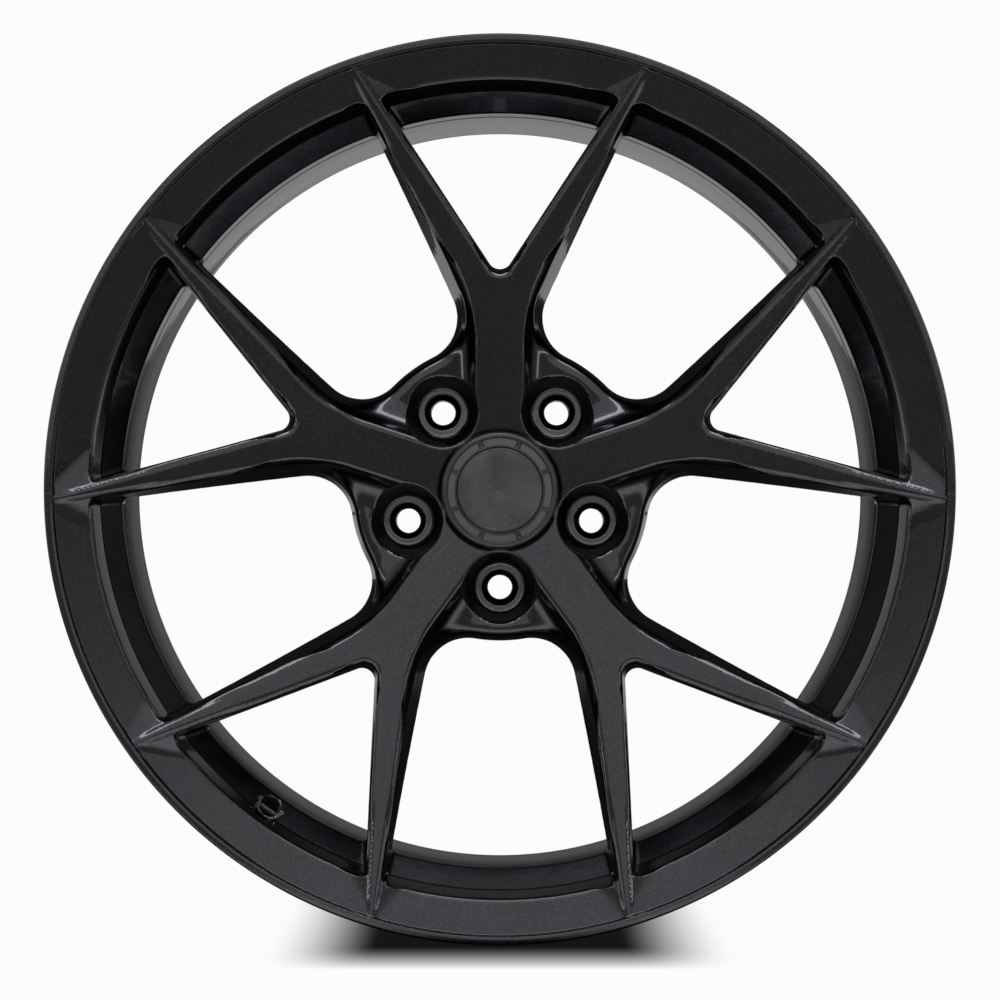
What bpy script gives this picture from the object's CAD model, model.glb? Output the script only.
import math

import bpy
import numpy as np
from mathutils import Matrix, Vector

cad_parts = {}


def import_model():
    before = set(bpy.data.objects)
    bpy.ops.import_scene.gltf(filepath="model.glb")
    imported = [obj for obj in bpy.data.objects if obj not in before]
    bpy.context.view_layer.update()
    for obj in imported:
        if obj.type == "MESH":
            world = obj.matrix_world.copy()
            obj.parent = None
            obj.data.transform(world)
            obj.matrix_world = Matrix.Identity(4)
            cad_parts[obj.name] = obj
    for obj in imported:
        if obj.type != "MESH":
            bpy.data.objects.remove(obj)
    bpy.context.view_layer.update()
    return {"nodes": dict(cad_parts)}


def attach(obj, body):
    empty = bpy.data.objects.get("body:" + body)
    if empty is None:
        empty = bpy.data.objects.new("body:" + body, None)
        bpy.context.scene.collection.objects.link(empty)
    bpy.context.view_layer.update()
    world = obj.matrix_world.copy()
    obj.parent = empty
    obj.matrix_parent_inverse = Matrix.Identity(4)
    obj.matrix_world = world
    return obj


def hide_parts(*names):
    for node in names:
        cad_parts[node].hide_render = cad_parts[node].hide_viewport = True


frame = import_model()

# Millimetres, in the wheel's own drawing frame: x to the right, y up, z towards the outer face.
# world() turns it upright, so that the outer face looks at -Y, and gives metres.


def world(points):
    """Drawing millimetres to metres in the shared frame."""
    p = np.asarray(points, float)
    return np.stack([p[..., 0], -p[..., 2], p[..., 1]], -1) / 1000.0


def rad(degrees):
    return math.radians(degrees)


# ------------------------------------------------------------------ dimensions

SECTOR = rad(72.0)
HALF = SECTOR / 2
AWAY = 9.0                                # field value that stands for no cut here

HUB_Z, HUB_R = 93.5, 36.0                 # face next to the cap
ROOT_SLOPE = 0.042
BEND_FROM, BEND_TO = 97.0, 118.0          # the root's face bends up into the arms'
CREASE_Y = 121.4
ARM_SLOPE = 0.158
LAND_Z, LAND_Y, LAND_SLOPE = 78.0, 70.0, 0.1   # land beside the bolts
EDGE_X = 13.53                            # root's top edge
EDGE_ANGLE = rad(28.46)                   # arm's top edge, window side
EDGE_TURN_Y = 110.1
EDGE_TURN_R = 75.0
EDGE_CHAMFER = rad(38.0)
EDGE_CHAMFER_W = 3.17
ROOT_WALL = 0.59                          # how far the root's walls lean out
ROOT_EDGE_W, ROOT_EDGE_DROP = 0.3, 2.0    # the root's narrower edge
ARM_FROM, ARM_TO = 88.0, 112.0            # the root's edge widens into the arms' in between
LAND_BLEND = 11.0                         # between a wall's foot and the land beside the bolts

WIN_FLOOR_R, WIN_CORNER_R = 88.3, 26.5
WIN_ANGLE, WIN_OFFSET = rad(25.9), 25.0
WIN_DRAFT, WIN_DRAFT_R, WIN_DRAFT_FALL = 0.128, 157.0, 0.00104
BACK_Z = 60.0                             # plane in which the windows are drawn
BACK_R, ARM_BACK_Z, ARM_BACK_SLOPE = 87.0, 52.0, 18 / 138
FACET = rad(26.0)                         # slope beside the arms' tips, down to the lip
FACET_R, FACET_LEAN = 238.0, 0.5          # the facets' inner end, leaning in towards the outer face
FACET_LOW, FACET_DROP = 103.0, 1.5
LIP_Z, TIP_R = 107.9, 256.5               # lip's inner edge, and where the tips end in its face
FORK_APEX, FORK_ANGLE, FORK_R = 125.7, rad(33.0), 7.3
FORK_DRAFT = 0.083
FORK_CHAMFER_W = 2.4

PITCH_R = 57.15
LUG_FLOOR_Z, LUG_FLOOR_R, LUG_POCKET_R = 68.6, 14.2, 20.8
LUG_SEAT_R, LUG_HOLE_R, LUG_SEAT_DEPTH = 10.7, 7.25, 6.0
LUG_CONE_SCALE = 0.83                     # about the cosine of the pocket's cone
MOUTH_Y, MOUTH_R = 59.2, 21.27

PAD_Z, PAD_R = 45.0, 80.0
BORE_R, BORE_TOP = 36.55, 57.0
CAP_BORE_R, RECESS_R, RECESS_Z = 30.3, 34.4, 85.5

VALVE_ANGLE, VALVE_R, VALVE_Z, VALVE_TILT = rad(234.0), 228.3, 83.0, rad(20.0)
VALVE_HOLE_R, VALVE_SPOT_R = 5.65, 8.25
VALVE_TURN, VALVE_HALF = rad(216.0), 6    # start and number of the half sector behind the valve hole

# Rim section as (radius, z, corner radius), from the rear edge along the bore to the crest and back.
RIM_SECTION = [
    (240.0, -120.0, 1.5), (237.4, -117.0, 1.5), (237.2, -106.0, 20), (232.2, 15.0, 20),
    (231.5, 26.0, 8), (223.6, 46.0, 8), (221.8, 60.5, 2.5), (221.8, 76.6, 2), (233.4, 88.8, 1.2),
    (236.5, 106.6, 1.2), (238.4, 107.9, 1.0), (255.5, 116.6, 1.0), (256.1, 119.7, 0.5), (257.3, 120.0, 0.8),
    (260.4, 120.0, 0.8), (261.2, 118.4, 0.9), (261.2, 111.0, 1.5), (259.6, 108.2, 1.5), (256.0, 108.0, 1.0),
    (247.4, 108.0, 3.5), (243.7, 103.4, 2), (242.2, 86.0, 1), (243.2, 84.3, 1), (243.0, 82.0, 1.2),
    (240.6, 79.6, 4), (228.2, 71.6, 5), (226.5, 68.0, 3), (226.5, 49.0, 6), (229.0, 42.0, 6),
    (237.5, 26.0, 8), (238.0, 17.0, 8), (238.0, -70.0, 8), (240.2, -78.5, 3), (242.9, -82.2, 0.8),
    (242.2, -86.0, 0.8), (243.7, -103.4, 2), (247.4, -108.0, 3.5), (256.0, -108.0, 1.0),
    (259.6, -108.2, 1.5), (261.2, -111.0, 1.5), (261.2, -117.2, 1.2), (259.6, -119.4, 1.2),
    (257.3, -120.0, 1.0),
]

# ------------------------------------------------------------------ section through the rim


def rounded_outline(corners, most=0.5):
    """Closed outline through (a, b, radius) corners as dense points."""
    pts = []
    n = len(corners)
    for i in range(n):
        p = np.array(corners[i][:2])
        into = p - np.array(corners[i - 1][:2])
        out = np.array(corners[(i + 1) % n][:2]) - p
        li, lo = np.linalg.norm(into), np.linalg.norm(out)
        into, out = into / li, out / lo
        turn = math.acos(max(-1.0, min(1.0, float(into @ out))))
        t = math.tan(turn / 2)
        radius = min(corners[i][2], 0.48 * min(li, lo) / max(t, 1e-6))
        if turn < 1e-3 or radius < 0.05:
            pts.append(p)
            continue
        trim = radius * t
        side = 1.0 if into[0] * out[1] - into[1] * out[0] > 0 else -1.0
        start = p - into * trim
        centre = start + side * radius * np.array([-into[1], into[0]])
        steps = max(2, int(math.ceil(turn * radius / most)), int(math.ceil(turn / rad(12))))
        a0 = math.atan2(*(start - centre)[::-1])
        for k in range(steps + 1):
            a = a0 + side * turn * k / steps
            pts.append(centre + radius * np.array([math.cos(a), math.sin(a)]))
    return np.array(pts)


def outline_distance(points, outline):
    """Signed distance of (n, 2) points to a closed outline, negative inside."""
    best = np.full(len(points), 1e9)
    inside = np.zeros(len(points), bool)
    px, py = points[:, 0], points[:, 1]
    for a, b in zip(outline, np.roll(outline, -1, 0)):
        d = b - a
        t = np.clip(((px - a[0]) * d[0] + (py - a[1]) * d[1]) / (d @ d), 0, 1)
        best = np.minimum(best, (px - a[0] - t * d[0]) ** 2 + (py - a[1] - t * d[1]) ** 2)
        if a[1] != b[1]:
            cross = ((a[1] > py) != (b[1] > py)) & (px < d[0] * (py - a[1]) / d[1] + a[0])
            inside ^= cross
    best = np.sqrt(best)
    return np.where(inside, -best, best)


class Table:
    """A function of (radius, z) held on a fine grid and read smoothly."""

    def __init__(self, outline, r0, r1, z0, z1, step=0.25):
        self.r0, self.z0, self.step = r0, z0, step
        self.nr, self.nz = int((r1 - r0) / step) + 1, int((z1 - z0) / step) + 1
        rr, zz = np.meshgrid(r0 + step * np.arange(self.nr), z0 + step * np.arange(self.nz), indexing="ij")
        flat = outline_distance(np.stack([rr.ravel(), zz.ravel()], 1), outline)
        self.values = flat.reshape(self.nr, self.nz)

    def __call__(self, r, z):
        u = np.clip((r - self.r0) / self.step, 1, self.nr - 2.001)
        v = np.clip((z - self.z0) / self.step, 1, self.nz - 2.001)
        i, j = u.astype(np.int32), v.astype(np.int32)
        a, b = u - i, v - j
        g = self.values
        low = g[i, j] * (1 - a) + g[i + 1, j] * a
        high = g[i, j + 1] * (1 - a) + g[i + 1, j + 1] * a
        beyond = np.maximum(self.r0 + self.step - r, 0)
        return low * (1 - b) + high * b + beyond


RIM_OUTLINE = rounded_outline(RIM_SECTION)
RIM_TABLE = Table(RIM_OUTLINE, 205.0, 268.0, -127.0, 127.0)
BORE_SIDE = RIM_SECTION[:14] + [(300.0, 121.0, 0), (300.0, -120.0, 0)]
BORE_TABLE = Table(rounded_outline(BORE_SIDE), 205.0, 268.0, 40.0, 127.0)

# ------------------------------------------------------------------ the forging as a distance-like field


def smax(a, b, k):
    """The larger of two, with the edge between them rounded over k on each side."""
    h = np.maximum(k - np.abs(a - b), 0.0)
    return np.maximum(a, b) + h * h / (4 * k)


def smin(a, b, k):
    """The smaller of two, with the corner between them filled over k on each side."""
    h = np.maximum(k - np.abs(a - b), 0.0)
    return np.minimum(a, b) - h * h / (4 * k)


def ease(x, a, b):
    """0 below a, 1 above b, smooth in between."""
    t = np.clip((x - a) / (b - a), 0, 1)
    return t * t * (3 - 2 * t)


def face_height(y):
    """Height of the spoke's face at y along its axis."""
    root = HUB_Z + ROOT_SLOPE * (y - HUB_R)
    t = np.clip(y - BEND_FROM, 0, BEND_TO - BEND_FROM)
    end_slope = ARM_SLOPE + 0.035
    bend = 0.5 * (end_slope - ROOT_SLOPE) / (BEND_TO - BEND_FROM) * t * t
    past = np.maximum(y - BEND_TO, 0) * (end_slope - ROOT_SLOPE)
    up = root + bend + past
    t = BEND_TO - BEND_FROM
    at_crease = (HUB_Z + ROOT_SLOPE * (CREASE_Y - HUB_R) + 0.5 * (end_slope - ROOT_SLOPE) * t
                 + (CREASE_Y - BEND_TO) * (end_slope - ROOT_SLOPE))
    arm = at_crease + ARM_SLOPE * (y - CREASE_Y)
    return smin(up, arm, 0.06)


class Plan:
    """What depends on the place in the wheel's plane alone."""

    def __init__(self, x, y):
        self.wx, self.wy = x, y
        self.r = np.hypot(x, y)
        turn = np.arctan2(x, y)
        fold = np.abs((turn + HALF) % SECTOR - HALF)
        self.x, self.y = self.r * np.sin(fold), self.r * np.cos(fold)
        self.lx, self.ly = self.r * np.sin(HALF - fold), self.r * np.cos(HALF - fold)
        self.top = face_height(self.y)
        self.edge = self._edge()
        self.window = self._window()
        self.lug = np.hypot(self.lx, self.ly - PITCH_R)

    def _edge(self):
        """Distance outside the root's and arm's top edge, towards the window."""
        c, s = math.cos(EDGE_ANGLE), math.sin(EDGE_ANGLE)
        root = self.x - EDGE_X
        arm = (self.x - EDGE_X) * c - (self.y - EDGE_TURN_Y) * s
        d = np.minimum(root, arm)
        reach = EDGE_TURN_R * math.tan(EDGE_ANGLE / 2)
        vx, vy = self.x - EDGE_X - EDGE_TURN_R, self.y - (EDGE_TURN_Y - reach)
        angle = np.arctan2(vy, -vx)
        turning = (angle > 0) & (angle < EDGE_ANGLE) & (vx < 0)
        d = np.where(turning, EDGE_TURN_R - np.hypot(vx, vy), d)
        mx, my = MOUTH_Y * math.sin(HALF), MOUTH_Y * math.cos(HALF)
        mouth = MOUTH_R - np.hypot(self.x - mx, self.y - my)
        return np.where(self.y < my, mouth, d)

    def _window(self):
        """Distance inside the large window's rear outline."""
        c, s = math.cos(WIN_ANGLE), math.sin(WIN_ANGLE)
        side = self.x * c - self.y * s + WIN_OFFSET
        inset = WIN_CORNER_R - WIN_OFFSET
        reach = math.sqrt((WIN_FLOOR_R + WIN_CORNER_R) ** 2 - inset ** 2)
        cx, cy = inset * c + reach * s, -inset * s + reach * c
        vx, vy = self.x - cx, self.y - cy
        u1 = -np.array([cx, cy]) / math.hypot(cx, cy)
        u2 = np.array([-c, s])
        corner = (u2[0] * vy - u2[1] * vx >= 0) & (vx * u1[1] - vy * u1[0] >= 0)
        d = np.minimum(self.r - WIN_FLOOR_R, side)
        return np.where(corner, WIN_CORNER_R - np.hypot(vx, vy), d)


def fork(p, z):
    """Distance inside the small window between the arms, whose walls lean back with depth."""
    s, c = math.sin(FORK_ANGLE), math.cos(FORK_ANGLE)
    apex = FORK_APEX - FORK_DRAFT * (z - BACK_Z) / s
    vy = p.y - apex - FORK_R / s
    line = (p.y - apex) * s - p.x * c
    corner = (vy < 0) & (p.x * s < -vy * c)
    return np.where(corner, FORK_R - np.hypot(p.x, vy), line)


def chamfer_drop(width):
    """How far an edge chamfer of that width goes down."""
    return width * math.tan(EDGE_CHAMFER)


def spokes(p, z, window, fork_in):
    """Hub and spokes before drilling: face, chamfers, walls, land between the bolts, windows, back."""
    top = z - p.top
    tc, ts = math.cos(EDGE_CHAMFER), math.sin(EDGE_CHAMFER)
    arm = ease(p.y, ARM_FROM, ARM_TO)
    chamfer = p.edge * ts + top * tc - ROOT_EDGE_DROP * (1 - arm)
    width = ROOT_EDGE_W + (EDGE_CHAMFER_W - ROOT_EDGE_W) * arm
    root_wall = (p.edge - width + ROOT_WALL * (top + chamfer_drop(width))) / math.hypot(1, ROOT_WALL)
    fork_chamfer = (fork_in + FORK_CHAMFER_W) * ts + top * tc
    raised = smax(smax(top, chamfer, 0.8), root_wall, 2.6 - 1.4 * arm)
    metal = smin(raised, z - LAND_Z - LAND_SLOPE * (p.ly - LAND_Y), LAND_BLEND)
    metal = smax(metal, fork_chamfer, 0.7)
    metal = smax(metal, window, 0.9 + 5.6 * ease(-z, -92.0, -80.0))
    metal = smax(metal, fork_in, 1.0)
    pad = PAD_Z + np.clip(p.r - PAD_R, 0, BACK_R - PAD_R)
    back = np.where(p.r < BACK_R, pad, ARM_BACK_Z + (p.r - BACK_R) * ARM_BACK_SLOPE) - z
    return smax(metal, back, 3.0)


def drilled(metal, p, z):
    """Cuts the bolt pockets, their seats and holes, the hub's bore, and the cap's bore and recess."""
    widening = (LUG_POCKET_R - LUG_FLOOR_R) / (LAND_Z - LUG_FLOOR_Z)
    cone = p.lug - LUG_FLOOR_R - widening * np.clip(z - LUG_FLOOR_Z, -5, LAND_Z - LUG_FLOOR_Z)
    metal = smax(metal, -smax(LUG_CONE_SCALE * cone, LUG_FLOOR_Z - z, 0.8), 1.6)
    seat_slope = (LUG_SEAT_R - LUG_HOLE_R) / LUG_SEAT_DEPTH
    seat = (p.lug - LUG_SEAT_R - (z - LUG_FLOOR_Z) * seat_slope) / math.hypot(1, seat_slope)
    seat = np.where(z < LUG_FLOOR_Z + 3, np.maximum(seat, LUG_FLOOR_Z - LUG_SEAT_DEPTH - z), AWAY)
    metal = smax(metal, -seat, 0.5)
    metal = smax(metal, LUG_HOLE_R - p.lug, 0.6)
    bore = np.maximum(p.r - BORE_R - np.clip(PAD_Z + 1.5 - z, 0, 3), z - BORE_TOP)
    metal = smax(metal, -bore, 0.5)
    metal = smax(metal, CAP_BORE_R - p.r, 0.6)
    return smax(metal, -smax(p.r - RECESS_R, RECESS_Z - z, 0.5), 2.2)


def lip_facets(p, z, window, fork_in):
    """Slopes that run down from the spokes' tips into the lip."""
    top = z - p.top
    fc, fs = math.cos(FACET), math.sin(FACET)
    beside = (p.edge - EDGE_CHAMFER_W) * fs + (top + chamfer_drop(EDGE_CHAMFER_W)) * fc
    between = fork_in * fs + (top + chamfer_drop(FORK_CHAMFER_W)) * fc
    facets = np.maximum(np.maximum(beside, between), top + FACET_DROP)
    inner = smin(FACET_R - FACET_LEAN * (z - LIP_Z) - p.r, np.maximum(window, fork_in), 6.0)
    return smax(np.maximum(facets, np.maximum(p.r - TIP_R, FACET_LOW - z)), inner, 1.2)


def valve_cut(metal, p, z):
    """Cuts the tilted valve hole with its small bevel, and the flat round it."""
    turn = VALVE_ANGLE - math.pi / 2
    c, s = math.cos(turn), math.sin(turn)
    vx, vy = p.wx * c + p.wy * s, -p.wx * s + p.wy * c - VALVE_R
    vz = z - VALVE_Z
    c, s = math.cos(VALVE_TILT), math.sin(VALVE_TILT)
    along, across = vz * c - vy * s, vy * c + vz * s
    radius = np.hypot(vx, across)
    spot = smax(radius - VALVE_SPOT_R, -along, 0.5)
    metal = smax(metal, -np.where(along > -10, spot, AWAY), 0.6)
    hole = radius - VALVE_HOLE_R - np.where(along < 0.4, np.clip(along + 0.9, 0, 30), 0)
    return smax(metal, -np.where(np.abs(along) < 25, hole, AWAY), 0.4)


def wheel_field(p, z):
    """Negative in the metal. p is a Plan and z a number or an array."""
    draft = np.clip(WIN_DRAFT - WIN_DRAFT_FALL * (p.r - WIN_DRAFT_R), 0.03, 0.15)
    window = (p.window + draft * (z - BACK_Z)) / np.sqrt(1 + draft * draft)
    fork_in = fork(p, z)
    arms = drilled(spokes(p, z, window, fork_in), p, z)
    in_bore = -1.0 - BORE_TABLE(p.r, z + 0 * p.r)
    facets = np.maximum(lip_facets(p, z, window, fork_in), in_bore)
    lip = smin(RIM_TABLE(p.r, z + 0 * p.r), facets, 3.5)
    arms = np.maximum(np.maximum(arms, in_bore), p.r - TIP_R)
    body = smin(arms, lip, 4.0 - 3.2 * ease(z, LIP_Z - 0.9, LIP_Z + 2.6))
    return valve_cut(body, p, z)


def field_at(points, chunk=60000):
    """The field at (n, 3) points, a chunk at a time."""
    out = np.empty(len(points))
    for i in range(0, len(points), chunk):
        q = points[i:i + chunk]
        out[i:i + chunk] = wheel_field(Plan(q[:, 0], q[:, 1]), q[:, 2])
    return out


def slope_at(points, reach=0.12):
    """The field's gradient at (n, 3) points."""
    g = np.empty((len(points), 3))
    for i in range(3):
        d = np.zeros(3)
        d[i] = reach
        g[:, i] = (field_at(points + d) - field_at(points - d)) / (2 * reach)
    return g


def settle(points, rounds=2, most=1.2):
    """Moves points onto the surface."""
    p = points.copy()
    for _ in range(rounds):
        f, g = field_at(p), slope_at(p)
        move = -(f / np.maximum((g * g).sum(1), 0.05))[:, None] * g
        far = np.linalg.norm(move, axis=1)
        p += move * np.minimum(1, most / np.maximum(far, 1e-9))[:, None]
    return p


# ------------------------------------------------------------------ surface net over the face and the lip

COARSE = 1.4
SLICES = int(144 / COARSE)                # grid slices in half a sector
RING_LOW, RING_R = 62.0, 214.0            # below and outside these the rim is plainly turned
WALL_MIDDLE_R = 224.0                     # between the rim's two sides at that cut
AROUND = 360


def lines(start, *spans):
    """Grid positions from a start and (end, step) spans."""
    out = [start]
    for end, step in spans:
        n = max(1, int(round((end - out[-1]) / (step * COARSE))))
        out += [out[-1] + (end - out[-1]) * (i + 1) / n for i in range(n)]
    return np.array(out)


R_LINES = lines(27.0, (40, 0.8), (78, 1.0), (212, 1.3), (222.5, 0.8), (236, 1.2), (241, 0.5), (254.4, 1.2),
                (262.6, 0.45))
Z_LINES = lines(42.0, (50, 1.0), (74, 1.3), (106.5, 1.0), (121.5, 0.6))


def placed(p, turn, mirrored):
    """Points of the first half sector moved to the half sector that starts at turn."""
    r, a = np.hypot(p[:, 0], p[:, 1]), np.arctan2(p[:, 0], p[:, 1])
    a = turn + (HALF - a if mirrored else a)
    return np.stack([r * np.sin(a), r * np.cos(a), p[:, 2]], 1)


class HalfSector:
    """Grid values and net points between a spoke's axis and a lug's, at turn or at the top of the wheel."""

    def __init__(self, turn):
        self.turn = turn
        angle = HALF * np.arange(SLICES + 1) / SLICES
        rr, aa = np.meshgrid(R_LINES, angle, indexing="ij")
        plan = Plan(rr * np.sin(turn + aa), rr * np.cos(turn + aa))
        values = np.stack([wheel_field(plan, z) for z in Z_LINES])
        self.inside = values < 0
        corners = [(a, b, c) for a in (0, 1) for b in (0, 1) for c in (0, 1)]
        shape = tuple(n - 1 for n in values.shape)
        total = np.zeros(shape, np.int8)
        for a, b, c in corners:
            total += self.inside[a:a + shape[0], b:b + shape[1], c:c + shape[2]]
        active = (total > 0) & (total < 8)
        low, ring = Z_LINES[:-1] < RING_LOW - 0.01, R_LINES[:-1] > RING_R
        active &= ~(low[:, None, None] & ring[None, :, None])
        cell = np.stack(np.nonzero(active))
        self.number = np.full(shape, -1, np.int32)
        self.number[tuple(cell)] = np.arange(cell.shape[1])
        got = {c: values[cell[0] + c[0], cell[1] + c[1], cell[2] + c[2]] for c in corners}
        sums, counts = np.zeros(cell.shape), np.zeros(cell.shape[1])
        for c in corners:
            for ax in range(3):
                if c[ax]:
                    continue
                f0, f1 = got[c], got[tuple(v + (m == ax) for m, v in enumerate(c))]
                hit = (f0 < 0) != (f1 < 0)
                at = np.repeat(np.array(c, float)[:, None], cell.shape[1], 1)
                at[ax] = np.where(hit, f0 / np.where(hit, f0 - f1, 1), 0)
                sums += at * hit
                counts += hit
        at = sums / counts
        z = Z_LINES[cell[0]] + at[0] * np.diff(Z_LINES)[cell[0]]
        r = R_LINES[cell[1]] + at[1] * np.diff(R_LINES)[cell[1]]
        a = turn + HALF * (cell[2] + at[2]) / SLICES
        p = settle(np.stack([r * np.sin(a), r * np.cos(a), z], 1))
        r, a = np.hypot(p[:, 0], p[:, 1]), np.arctan2(p[:, 0], p[:, 1])
        a = np.clip((a - turn + math.pi) % (2 * math.pi) - math.pi, 0, HALF)
        self.points = np.stack([r * np.sin(a), r * np.cos(a), p[:, 2]], 1)


def surface_net():
    """Points and quads of the whole turn, from two kinds of half sector."""
    plain = HalfSector(0.0)
    with_valve = HalfSector(VALVE_TURN)
    kinds = [with_valve if k in (VALVE_HALF - 1, VALVE_HALF) else plain for k in range(10)]
    inside, number, points = [], [], []
    count = 0
    for k, kind in enumerate(kinds):
        flip = k % 2 == 1
        inside.append(kind.inside[:, :, :0:-1] if flip else kind.inside[:, :, :-1])
        cells = kind.number[:, :, ::-1] if flip else kind.number
        number.append(np.where(cells >= 0, cells + count, -1))
        points.append(placed(kind.points, k * HALF, flip))
        count += len(kind.points)
    inside, number = np.concatenate(inside, 2), np.concatenate(number, 2)
    inside = np.concatenate([inside, inside[:, :, :1]], 2)
    number = np.concatenate([number, number[:, :, :1]], 2)
    quads = []
    for ax in range(3):
        u, v = (ax + 1) % 3, (ax + 2) % 3
        a, b = [slice(None)] * 3, [slice(None)] * 3
        a[ax], b[ax] = slice(0, -1), slice(1, None)
        cross = inside[tuple(a)] != inside[tuple(b)]
        for w in (u, v):
            edge = [slice(None)] * 3
            edge[w] = -1
            cross[tuple(edge)] = False
            if w != 2:
                edge[w] = 0
                cross[tuple(edge)] = False
        at = np.array(np.nonzero(cross))
        ring = []
        for du, dv in ((-1, -1), (0, -1), (0, 0), (-1, 0)):
            q = at.copy()
            q[u] += du
            q[v] += dv
            q[2] %= number.shape[2] - 1
            ring.append(number[tuple(q)])
        ring = np.stack(ring, 1)
        first = inside[tuple(at)]
        ring[first] = ring[first][:, ::-1]
        quads.append(ring[(ring >= 0).all(1)])
    return np.concatenate(points), np.concatenate(quads)


def ring_loops(points, quads, z_limit, split):
    """The open loops left at the cut, as vertex numbers in order of angle, inner and outer."""
    edges = np.concatenate([quads[:, [i, (i + 1) % 4]] for i in range(4)])
    key = np.sort(edges, 1)
    _, back, count = np.unique(key[:, 0].astype(np.int64) * len(points) + key[:, 1],
                               return_inverse=True, return_counts=True)
    open_edges = edges[count[back] == 1]
    ends = np.unique(open_edges)
    ends = ends[points[ends, 2] < z_limit]
    r = np.hypot(points[ends, 0], points[ends, 1])
    loops = []
    for side in (ends[r < split], ends[r >= split]):
        angle = np.arctan2(points[side, 1], points[side, 0])
        loops.append(side[np.argsort(angle)])
    return loops


def zip_loops(points, a, b):
    """Triangles between two closed loops ordered by angle."""
    ta = np.arctan2(points[a, 1], points[a, 0])
    tb = np.arctan2(points[b, 1], points[b, 0])
    na, nb = len(a), len(b)
    i = j = 0
    out = []
    while i < na or j < nb:
        next_a = ta[(i + 1) % na] + (2 * math.pi if i + 1 >= na else 0)
        next_b = tb[(j + 1) % nb] + (2 * math.pi if j + 1 >= nb else 0)
        if j >= nb or (i < na and next_a <= next_b):
            out.append((a[i % na], a[(i + 1) % na], b[j % nb]))
            i += 1
        else:
            out.append((a[i % na], b[(j + 1) % nb], b[j % nb]))
            j += 1
    return np.array(out)


def mesh_object(name, points, groups, normals=None):
    """Object from points in millimetres and arrays of triangles and quads."""
    me = bpy.data.meshes.new(name)
    sizes = np.concatenate([np.full(len(g), g.shape[1]) for g in groups])
    corners = np.concatenate([g.ravel() for g in groups])
    me.vertices.add(len(points))
    me.vertices.foreach_set("co", world(points).ravel())
    me.loops.add(len(corners))
    me.loops.foreach_set("vertex_index", corners.astype(np.int32))
    me.polygons.add(len(sizes))
    me.polygons.foreach_set("loop_start", (np.cumsum(sizes) - sizes).astype(np.int32))
    me.update(calc_edges=True)
    me.shade_smooth()
    if normals is not None:
        me.normals_split_custom_set_from_vertices(world(normals) * 1000)
    ob = bpy.data.objects.new(name, me)
    bpy.context.scene.collection.objects.link(ob)
    return ob


def turned_rest():
    """Rings of the rim below the net, from the bore side round the rear to the tyre side."""
    section = RIM_OUTLINE[RIM_OUTLINE[:, 1] < RING_LOW - 1.5]
    start = int(np.argmax(np.linalg.norm(section - np.roll(section, 1, 0), axis=1)))
    section = np.roll(section, -start, 0)
    dense = [section[0]]
    for q in section[1:]:
        steps = max(1, int(math.ceil(np.linalg.norm(q - dense[-1]) / 8.0)))
        last = dense[-1]
        dense += [last + (q - last) * k / steps for k in range(1, steps + 1)]
    section = np.array(dense)
    angle = -math.pi + (np.arange(AROUND) + 0.5) * 2 * math.pi / AROUND
    rings = np.stack([np.outer(section[:, 0], np.cos(angle)), np.outer(section[:, 0], np.sin(angle)),
                      np.repeat(section[:, 1:], AROUND, 1)], -1)
    i, j = np.meshgrid(np.arange(len(section) - 1), np.arange(AROUND), indexing="ij")
    k = (j + 1) % AROUND
    quads = np.stack([i * AROUND + j, (i + 1) * AROUND + j, (i + 1) * AROUND + k, i * AROUND + k], -1)
    return rings.reshape(-1, 3), quads.reshape(-1, 4), section[0][0] > WALL_MIDDLE_R


def forging():
    """The whole forging: net over face and lip, turned rest of the rim, and the seams between them."""
    points, quads = surface_net()
    inner, outer = ring_loops(points, quads, RING_LOW + 2.4 * COARSE, WALL_MIDDLE_R)
    rings, turned, tyre_first = turned_rest()
    base = len(points)
    points = np.concatenate([points, rings])
    first, last = base + np.arange(AROUND), len(points) - AROUND + np.arange(AROUND)
    if tyre_first:
        first, last = last, first
    zips = np.concatenate([zip_loops(points, inner, first), zip_loops(points, outer, last)[:, ::-1]])
    slope = slope_at(points)
    slope /= np.maximum(np.linalg.norm(slope, axis=1), 1e-9)[:, None]
    ob = mesh_object("wheel_forging", points, [quads, turned + base, zips], slope)
    to_lug = ob.data.attributes.new("lug_distance", "FLOAT", "POINT")
    to_lug.data.foreach_set("value", Plan(points[:, 0], points[:, 1]).lug.astype(np.float32))
    return ob


wheel = forging()
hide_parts(*[n for n in frame["nodes"] if not n.startswith("cap_")])
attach(wheel, "wheel")

# ------------------------------------------------------------------ centre cap

CAP_TOP, GROOVE_FLOOR, LEG_END, SKIRT_END = 95.1, 93.3, 64.1, 81.5
LEG_IN, LEG_OUT, LEG_SLOT = 27.35, 29.85, 7.0
CAP_STEPS = 240
GROOVE_IN, GROOVE_OUT, BARS = 26.3, 30.3, 8
BAR_HALF, BAR_RISE, BAR_OVERLAP = 1.75, 1.45, 0.3
DIP_HALF, DIP_DEPTH, DIP_R = 0.75, 0.55, 28.3   # hollow along the middle of a bar
RING_WIRE, RING_Z, RING_CLEARANCE, RING_GAP = 0.88, 67.0, 0.35, 2.0


def section_normals(section):
    """Outward normals of a closed outline, each side weighing in by its length."""
    after = np.roll(section, -1, 0) - section
    both = after + np.roll(after, 1, 0)
    n = np.stack([both[:, 1], -both[:, 0]], 1)
    return n / np.linalg.norm(n, axis=1)[:, None]


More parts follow.
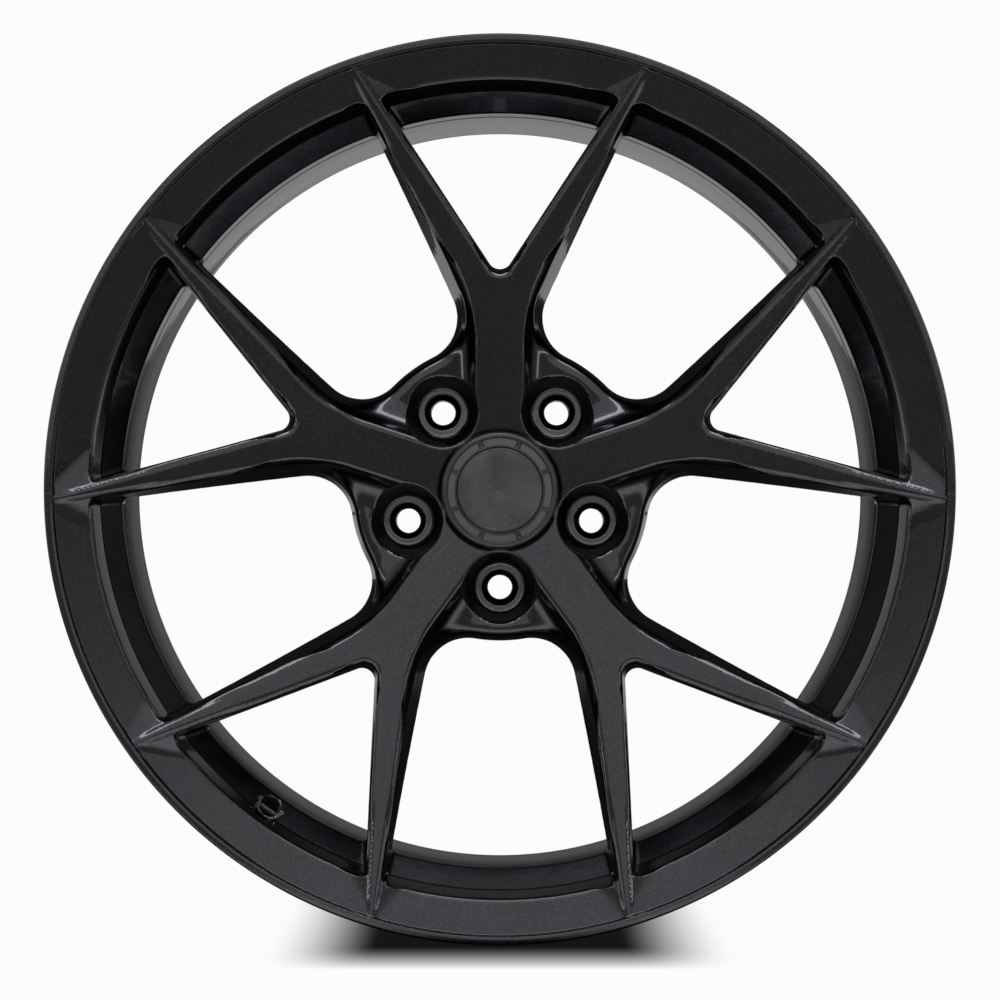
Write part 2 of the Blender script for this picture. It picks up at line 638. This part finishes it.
def swept(section, start, stop, steps, scales=()):
    """Section swept about the axis: points, normals and face groups. A full turn closes on itself."""
    whole = abs(stop - start) > 2 * math.pi - 1e-6
    angle = start + (stop - start) * np.arange(steps if whole else steps + 1) / steps
    after = np.roll(section, -1, 0)
    area = 0.5 * (section[:, 0] * after[:, 1] - after[:, 0] * section[:, 1]).sum()
    section = section if area > 0 else section[::-1]
    normal = section_normals(section)
    middle = section.mean(0)
    size = np.ones(len(angle))
    for i, scale in enumerate(scales):
        size[i] = size[-1 - i] = scale
    at = middle + (section - middle)[None] * size[:, None, None]
    out = np.stack([np.cos(angle), np.sin(angle)], 1)

    def spin(rz):
        return np.stack([rz[..., 0] * out[:, :1], rz[..., 0] * out[:, 1:], rz[..., 1]], -1)

    n = len(section)
    points, normals = spin(at).reshape(-1, 3), spin(np.repeat(normal[None], len(angle), 0)).reshape(-1, 3)
    i, j = np.meshgrid(np.arange(steps), np.arange(n), indexing="ij")
    i2, j2 = (i + 1) % len(angle), (j + 1) % n
    groups = [np.stack([i * n + j, i2 * n + j, i2 * n + j2, i * n + j2], -1).reshape(-1, 4)]
    if not whole:
        base = len(points)
        for k, sign in ((0, -1.0), (steps, 1.0)):
            along = sign * np.array([-out[k, 1], out[k, 0], 0.0])
            points = np.concatenate([points, spin(at)[k]])
            normals = np.concatenate([normals, np.repeat(along[None], n, 0)])
            ring = base + np.arange(n)
            groups.append((ring if sign < 0 else ring[::-1])[None])
            base += n
    return points, normals, groups


def joined(parts):
    """Several (points, normals, groups) as one."""
    points, normals, groups, base = [], [], [], 0
    for p, n, g in parts:
        points.append(p)
        normals.append(n)
        groups += [f + base for f in g]
        base += len(p)
    return np.concatenate(points), np.concatenate(normals), groups


def groove_bar(angle):
    """Small block across the cap's groove, with a raised line along each side."""
    u = np.linspace(-BAR_HALF, BAR_HALF, 29)
    v = np.linspace(GROOVE_IN - BAR_OVERLAP, GROOVE_OUT + BAR_OVERLAP, 18)
    uu, vv = np.meshgrid(u, v, indexing="ij")

    def height(u, v):
        block = smin(BAR_RISE, 2.6 * (BAR_HALF - 0.05 - np.abs(u)), 0.5)
        across = ease(DIP_HALF - np.abs(u), -0.25, 0.25)
        dip = DIP_DEPTH * across * ease(2.6 - np.abs(v - DIP_R) * 1.45, 0.0, 0.9)
        return GROOVE_FLOOR - 0.1 + block - dip

    z = height(uu, vv)
    d = 0.02
    du = (height(uu + d, vv) - height(uu - d, vv)) / (2 * d)
    dv = (height(uu, vv + d) - height(uu, vv - d)) / (2 * d)
    c, s = math.cos(angle), math.sin(angle)
    points = np.stack([vv * c - uu * s, vv * s + uu * c, z], -1).reshape(-1, 3)
    n = np.stack([-dv * c + du * s, -dv * s - du * c, np.ones_like(z)], -1).reshape(-1, 3)
    n /= np.linalg.norm(n, axis=1)[:, None]
    i, j = np.meshgrid(np.arange(len(u) - 1), np.arange(len(v) - 1), indexing="ij")
    m = len(v)
    quads = np.stack([i * m + j, i * m + j + 1, (i + 1) * m + j + 1, (i + 1) * m + j], -1).reshape(-1, 4)
    return points, n, [quads]


def cap_shell():
    """Moulded shell: recess for the badge, grooved ring with eight bars, skirt and eight legs."""
    top = rounded_outline([
        (0.02, 91.0, 0), (LEG_IN, 91.0, 0.6), (LEG_IN, SKIRT_END - 1.0, 0.2), (LEG_OUT, SKIRT_END - 1.0, 0.2),
        (LEG_OUT, 85.85, 0.4), (33.9, 85.85, 0.4), (33.9, 92.6, 0.9), (33.1, 94.5, 1.2), (31.9, CAP_TOP, 0.9),
        (30.9, CAP_TOP, 0.3), (GROOVE_OUT, GROOVE_FLOOR, 0.25), (GROOVE_IN, GROOVE_FLOOR, 0.25),
        (25.9, CAP_TOP, 0.25), (25.25, CAP_TOP, 0.25), (25.05, 92.9, 0.2), (0.02, 92.9, 0)], 0.12)
    leg = rounded_outline([
        (LEG_IN, SKIRT_END + 0.5, 0.1), (LEG_IN, LEG_END + 1.8, 0.4), (LEG_IN - 1, LEG_END + 1.4, 0.3),
        (LEG_IN - 1, LEG_END, 0.3), (LEG_OUT - 0.6, LEG_END, 0.4), (LEG_OUT, LEG_END + 1.5, 0.6),
        (LEG_OUT, SKIRT_END + 0.5, 0.1)], 0.2)
    parts = [swept(top, 0.0, 2 * math.pi, CAP_STEPS)]
    half_slot = LEG_SLOT / 2 / LEG_OUT
    for k in range(BARS):
        a = (k + 0.5) * 2 * math.pi / BARS
        parts.append(groove_bar(a))
        parts.append(swept(leg, a + half_slot, a + 2 * math.pi / BARS - half_slot, 20))
    return joined(parts)


def cap_badge():
    """Flat disc with a fine groove near its edge."""
    return swept(rounded_outline([
        (0.02, 93.55, 0), (24.7, 93.55, 0.2), (24.7, 94.5, 0.2), (24.3, 94.95, 0.3), (22.9, 95.0, 0.3),
        (22.5, 94.85, 0.3), (22.1, 95.0, 0.3), (0.02, 95.15, 0)], 0.12), 0.0, 2 * math.pi, CAP_STEPS)


def cap_spring_ring():
    """Split wire ring inside the legs, its ends tapered."""
    a = 2 * math.pi * np.arange(20) / 20
    middle = LEG_IN - RING_CLEARANCE - RING_WIRE
    section = np.stack([middle + RING_WIRE * np.cos(a), RING_Z + RING_WIRE * np.sin(a)], 1)
    gap = RING_GAP / middle
    return swept(section, -math.pi / 2 + gap, 1.5 * math.pi - gap, 144, (0.72, 0.94))


cap_pieces = {}
for name, build in (("cap_shell", cap_shell), ("cap_badge", cap_badge),
                    ("cap_spring_ring", cap_spring_ring)):
    points, normals, groups = build()
    piece = mesh_object(name + "_detail", points, groups, normals)
    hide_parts(name)
    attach(piece, "centre_cap")
    cap_pieces[name] = piece

# ------------------------------------------------------------------ materials


class Nodes:
    """Short hand for building the nodes of a material or a world."""

    def __init__(self, owner):
        owner.use_nodes = True
        self.tree = owner.node_tree
        self.coordinates = self.add("ShaderNodeTexCoord").outputs
        self.place = self.coordinates["Object"]

    def give(self, socket, value):
        if isinstance(value, bpy.types.NodeSocket):
            self.tree.links.new(value, socket)
        else:
            socket.default_value = value

    def add(self, kind, inputs=None, **settings):
        node = self.tree.nodes.new(kind)
        for key, value in settings.items():
            setattr(node, key, value)
        for key, value in (inputs or {}).items():
            self.give(node.inputs[key], value)
        return node

    def math(self, operation, *values):
        return self.add("ShaderNodeMath", dict(enumerate(values)), operation=operation).outputs[0]

    def axes(self, vector=None):
        return self.add("ShaderNodeSeparateXYZ", {"Vector": vector or self.place}).outputs

    def noise(self, scale, detail=2.0, at=None, roughness=0.5):
        return self.add("ShaderNodeTexNoise", {"Vector": at or self.place, "Scale": scale, "Detail": detail,
                                               "Roughness": roughness}).outputs["Fac"]

    def span(self, value, low, high, to_low, to_high):
        return self.add("ShaderNodeMapRange", {"Value": value, "From Min": low, "From Max": high,
                                               "To Min": to_low, "To Max": to_high}).outputs["Result"]

    def bump(self, height, distance, strength=1.0, normal=None):
        inputs = {"Height": height, "Distance": distance, "Strength": strength}
        if normal:
            inputs["Normal"] = normal
        return self.add("ShaderNodeBump", inputs).outputs["Normal"]

    def blend(self, amount, first, second):
        node = self.add("ShaderNodeMix", {0: amount, 6: first, 7: second}, data_type="RGBA")
        return node.outputs[2]

    def drive(self, **sockets):
        shader = self.tree.nodes["Principled BSDF"]
        for key, value in sockets.items():
            self.give(shader.inputs[key.replace("_", " ")], value)

    def split(self, to_camera, to_others, output):
        """Shows one shader to the camera and another to every other ray."""
        ray = self.add("ShaderNodeLightPath").outputs["Is Camera Ray"]
        mix = self.add("ShaderNodeMixShader", {0: ray, 1: to_others, 2: to_camera}).outputs[0]
        self.tree.links.new(mix, self.tree.nodes[output].inputs["Surface"])


def forging_paint(n):
    """Black base coat with metallic flake under a clear coat with a little orange peel."""
    flake = n.add("ShaderNodeTexVoronoi", {"Vector": n.place, "Scale": 2300.0, "Randomness": 1.0})
    grain = n.add("ShaderNodeSeparateColor", {"Color": flake.outputs["Color"]})
    sparkle = n.span(grain.outputs["Red"], 0.62, 1.0, 0.0, 1.0)
    edge = n.span(n.add("ShaderNodeNewGeometry").outputs["Pointiness"], 0.50, 0.56, 0.0, 1.0)
    cloud = n.noise(14.0, 4.0)
    dark = n.blend(n.span(cloud, 0.35, 0.65, 0.0, 1.0), (0.017, 0.0158, 0.020, 1), (0.025, 0.0232, 0.030, 1))
    flaked = n.blend(sparkle, dark, (0.066, 0.062, 0.077, 1))
    colour = n.blend(edge, flaked, (0.045, 0.042, 0.05, 1))
    # the bolt seats are turned: fine rings round each hole, above the seat's depth
    lug = n.add("ShaderNodeAttribute", attribute_name="lug_distance").outputs["Fac"]
    seat = n.math("MULTIPLY", n.span(lug, 10.9, 11.3, 0.0, 1.0), n.span(lug, 13.9, 14.4, 1.0, 0.0))
    seat = n.math("MULTIPLY", seat, n.span(n.axes()["Y"], -0.0705, -0.0695, 0.0, 1.0))
    turned = n.math("MULTIPLY", n.math("SINE", n.math("MULTIPLY", lug, 5.6)), seat)
    colour = n.blend(seat, colour, (0.10, 0.099, 0.106, 1))
    peel = n.bump(turned, 0.00005, 0.6, n.bump(n.noise(420.0, 2.0), 0.000012, 0.6))
    wave = n.bump(n.noise(22.0, 3.0), 0.0006, 0.5, peel)
    flat = n.bump(grain.outputs["Green"], 0.00002, 0.4)
    n.drive(Base_Color=colour, Metallic=1.0, Roughness=n.span(cloud, 0.3, 0.7, 0.20, 0.28), Normal=flat,
            Coat_Weight=1.0, Coat_Roughness=n.span(n.noise(60.0, 3.0), 0.3, 0.7, 0.015, 0.05),
            Coat_Normal=wave)


def cap_shell_paint(n):
    """Black moulded plastic, finely grained, with a satin floor in the groove."""
    mottle = n.noise(90.0, 3.0)
    colour = n.blend(n.span(mottle, 0.35, 0.65, 0.0, 1.0), (0.020, 0.020, 0.021, 1), (0.030, 0.030, 0.031, 1))
    grain = n.bump(n.noise(2200.0, 2.0), 0.00002, 0.5)
    x, y, z = n.axes()
    radius = n.math("SQRT", n.math("MULTIPLY_ADD", z, z, n.math("MULTIPLY", x, x)))
    ring = n.math("MULTIPLY", n.span(radius, 0.0262, 0.0266, 0.0, 1.0),
                  n.span(radius, 0.0299, 0.0303, 1.0, 0.0))
    ring = n.math("MULTIPLY", ring, n.span(y, -0.0940, -0.0938, 0.0, 1.0))
    colour = n.blend(ring, colour, (0.16, 0.16, 0.165, 1))
    n.drive(Base_Color=colour, Metallic=ring, Roughness=n.span(mottle, 0.3, 0.7, 0.26, 0.36),
            Normal=n.bump(n.noise(70.0, 1.0), 0.0002, 0.3, grain), Coat_Weight=0.3,
            Coat_Roughness=n.span(n.noise(300.0), 0.3, 0.7, 0.08, 0.14))


def cap_badge_metal(n):
    """Dark grey satin foil, fine grain, a few soft clouds."""
    cloud = n.noise(45.0, 4.0, roughness=0.6)
    colour = n.blend(n.span(cloud, 0.38, 0.62, 0.0, 1.0), (0.085, 0.085, 0.090, 1), (0.125, 0.125, 0.130, 1))
    speck = n.span(n.noise(1100.0, 3.0), 0.55, 0.75, 0.0, 1.0)
    colour = n.blend(speck, colour, (0.155, 0.155, 0.16, 1))
    grain = n.bump(n.noise(1800.0, 3.0), 0.00003, 0.6)
    n.drive(Base_Color=colour, Metallic=0.9, Roughness=n.span(cloud, 0.3, 0.7, 0.30, 0.46),
            Normal=n.bump(n.noise(38.0, 3.0), 0.0006, 0.6, grain))


def spring_steel(n):
    """Drawn wire, scored along its length."""
    long_way = n.add("ShaderNodeMapping", {"Vector": n.place, "Scale": (1.0, 40.0, 1.0)}).outputs["Vector"]
    score = n.noise(120.0, 4.0, long_way)
    colour = n.blend(n.noise(60.0, 3.0), (0.42, 0.42, 0.43, 1), (0.58, 0.57, 0.56, 1))
    n.drive(Base_Color=colour, Metallic=1.0, Roughness=n.span(score, 0.3, 0.7, 0.22, 0.42),
            Normal=n.bump(score, 0.00003, 0.6))


for piece, paint in ((wheel, forging_paint), (cap_pieces["cap_shell"], cap_shell_paint),
                     (cap_pieces["cap_badge"], cap_badge_metal), (cap_pieces["cap_spring_ring"], spring_steel)):
    material = bpy.data.materials.new(paint.__name__)
    paint(Nodes(material))
    piece.data.materials.append(material)

# ------------------------------------------------------------------ floor, light, camera

FACE_Y = -0.120                           # outer face, in metres
CAM_DISTANCE, CAM_DROP = 1.556, 0.0223    # in front of that face, and below the axis
FLOOR_Z, FLOOR_HALF = -0.2612, 9.0
FLOOR_NEAR, FLOOR_FAR, FLOOR_BACK = 1.2, 0.22, 0.32
SEEN_WHITE, SEEN_SHADOW = 0.97, 0.008
SHADOW_DEPTH = (0.120, 0.202)             # where the contact shadow fades, front and back
SHADOW_SIDE = (0.070, 0.135)              # and to the sides
STUDIO_GREY = (0.8, 0.8, 0.8, 1)
WALL, WALL_SIDE = 0.95, 0.28
ROOM, CARD, ABOVE, FLANK = 0.012, 0.13, 0.4, 0.7


def stage_plane():
    """Pale floor. The camera sees it evenly white with the contact shadow; reflections see it lit in front."""
    w = FLOOR_HALF
    me = bpy.data.meshes.new("floor")
    me.from_pydata([(-w, -w, FLOOR_Z), (w, -w, FLOOR_Z), (w, w, FLOOR_Z), (-w, w, FLOOR_Z)], [], [(0, 1, 2, 3)])
    ob = bpy.data.objects.new("floor", me)
    bpy.context.scene.collection.objects.link(ob)
    material = bpy.data.materials.new("floor")
    n = Nodes(material)
    x, along, _ = n.axes()
    across, depth = n.math("ABSOLUTE", x), n.math("ABSOLUTE", along)
    ends = n.math("POWER", n.span(depth, *SHADOW_DEPTH, 0.0, 1.0), 2.0)
    near, far = SHADOW_SIDE
    sides = n.add("ShaderNodeMapRange", {"Value": across, "From Min": near, "From Max": far},
                  interpolation_type="SMOOTHSTEP").outputs["Result"]
    shade = n.math("MULTIPLY", n.span(ends, 0.0, 1.0, 1.0, 0.0), n.span(sides, 0.0, 1.0, 1.0, 0.0))
    shown = n.span(shade, 0.0, 1.0, SEEN_WHITE, SEEN_SHADOW)
    seen = n.add("ShaderNodeEmission", {"Strength": shown}).outputs[0]
    front = n.span(along, -0.50, -0.30, FLOOR_FAR, FLOOR_NEAR)
    light = n.math("MULTIPLY", front, n.span(along, -0.22, -0.14, 1.0, 0.005))
    light = n.math("ADD", light, n.span(along, 1.0, 3.0, 0.0, FLOOR_BACK))
    mirrored = n.add("ShaderNodeEmission", {"Strength": light}).outputs[0]
    n.split(seen, mirrored, "Material Output")
    me.materials.append(material)


def studio_world():
    """White to the camera. To other rays, a light wall in front above a dark floor, a card straight behind,
    and soft light from above and from both flanks of the back."""
    studio = bpy.data.worlds.new("studio")
    bpy.context.scene.world = studio
    n = Nodes(studio)
    x, y, z = n.axes(n.coordinates["Generated"])
    sideways = n.math("ABSOLUTE", x)
    wall = n.math("MULTIPLY", n.span(sideways, 0.45, 0.75, WALL, WALL_SIDE),
                  n.span(z, 0.022, 0.036, FLOOR_FAR / WALL, 1.0))
    light = n.math("MULTIPLY", wall, n.span(y, -0.30, 0.0, 1.0, 0.0))
    card = n.span(y, 0.990, 0.9965, ROOM, CARD)
    above = n.math("MULTIPLY", n.span(y, 0.0, 0.2, 0.0, 1.0), n.span(z, 0.70, 0.95, 0.0, ABOVE))
    flank = n.math("MULTIPLY", n.span(y, 0.20, 0.45, 0.0, 1.0), n.span(sideways, 0.54, 0.66, 0.0, FLANK))
    for part in (card, above, flank):
        light = n.math("ADD", light, part)
    lit = n.add("ShaderNodeBackground", {"Color": STUDIO_GREY, "Strength": light}).outputs[0]
    seen = n.add("ShaderNodeBackground", {"Color": (SEEN_WHITE,) * 3 + (1,)}).outputs[0]
    n.split(seen, lit, "World Output")


stage_plane()
studio_world()
bpy.context.scene.view_settings.view_transform = "Standard"


def softbox(name, size, at, towards, power):
    data = bpy.data.lights.new(name, "AREA")
    data.shape = "RECTANGLE"
    data.size, data.size_y = size
    data.energy = power
    ob = bpy.data.objects.new(name, data)
    bpy.context.scene.collection.objects.link(ob)
    ob.location = at
    ob.rotation_euler = (Vector(towards) - Vector(at)).to_track_quat("-Z", "Y").to_euler()


softbox("top_box", (2.4, 0.5), (0.0, -0.9, 1.9), (0, 0, 0), 16)
for side, x in (("left", -1.9), ("right", 1.9)):
    softbox(side + "_box", (0.3, 1.6), (x, -1.0, 0.4), (0, 0, 0), 4)

cam_data = bpy.data.cameras.new("camera")
cam_data.sensor_width, cam_data.lens = 36.0, 97.97
cam_data.shift_x, cam_data.shift_y = 0.00015, 0.0285
cam_data.clip_start, cam_data.clip_end = 0.05, 50
cam = bpy.data.objects.new("camera", cam_data)
cam.location = (0.0, FACE_Y - CAM_DISTANCE, -CAM_DROP)
cam.rotation_euler = (math.pi / 2, 0, 0)
bpy.context.scene.collection.objects.link(cam)
bpy.context.scene.camera = cam
